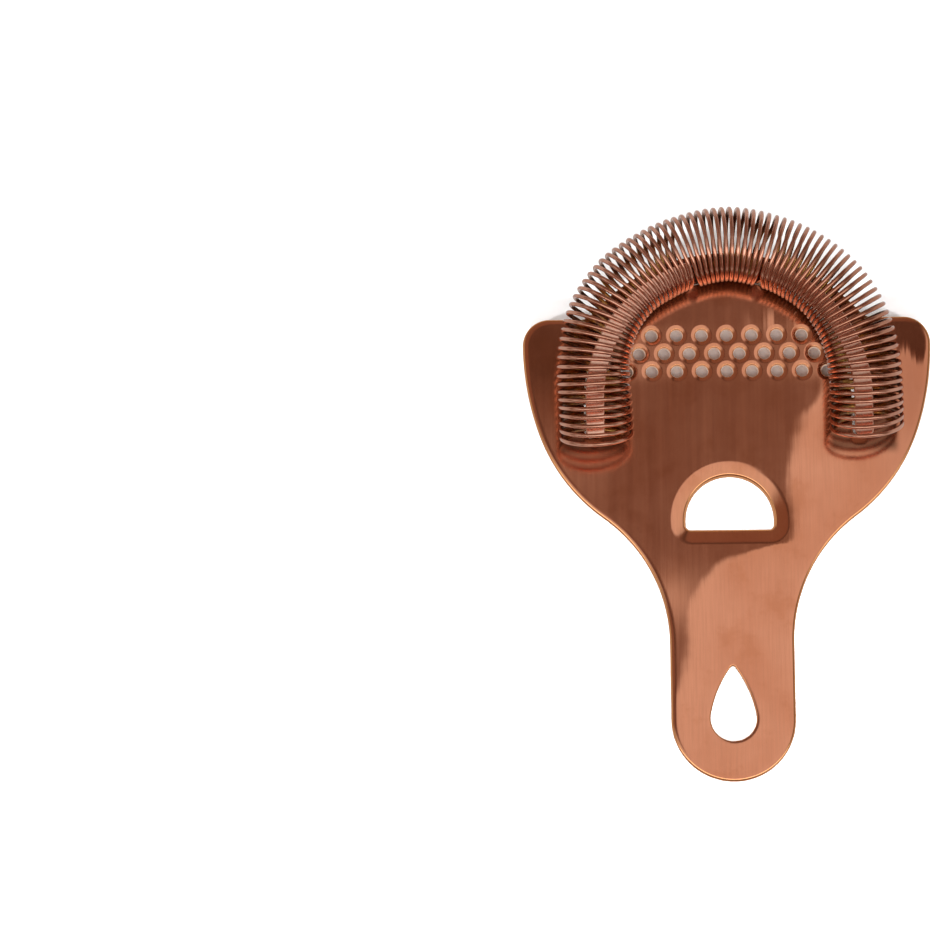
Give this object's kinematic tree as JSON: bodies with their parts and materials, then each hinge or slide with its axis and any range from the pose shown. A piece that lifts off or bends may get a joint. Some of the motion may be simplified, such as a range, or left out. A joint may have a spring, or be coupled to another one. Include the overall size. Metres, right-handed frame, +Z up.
{
  "type": "hawthorne strainer",
  "caption": "Flat two-ear cocktail strainer pressed from sheet metal, with flared drain holes, a lipped pouring hole, a short handle and a removable horseshoe coil spring.",
  "frame": {"origin": "centre of the overall bounding box in X and Y, on the plane that the pressed lips rest on", "axes": "+X to the right, +Y from the handle towards the spring's bow, +Z up, on the spring's side of the plate"},
  "size_m": [0.1042, 0.1464, 0.022],
  "materials": {
    "plate_copper": "copper-coloured satin, fine straight brushing along the handle",
    "spring_copper": "copper-coloured bright drawn wire"
  },
  "bodies": {
    "plate": {"strainer_plate": "plate_copper"},
    "spring": {"coil_spring": "spring_copper"}
  },
  "joints": [
    {"name": "spring_press", "type": "slide", "parent": "plate", "child": "spring", "axis": [0, -1, 0], "range_m": [0, 0.005], "stiffness_N_per_m": 600, "deforming": ["coil_spring"]}
  ]
}
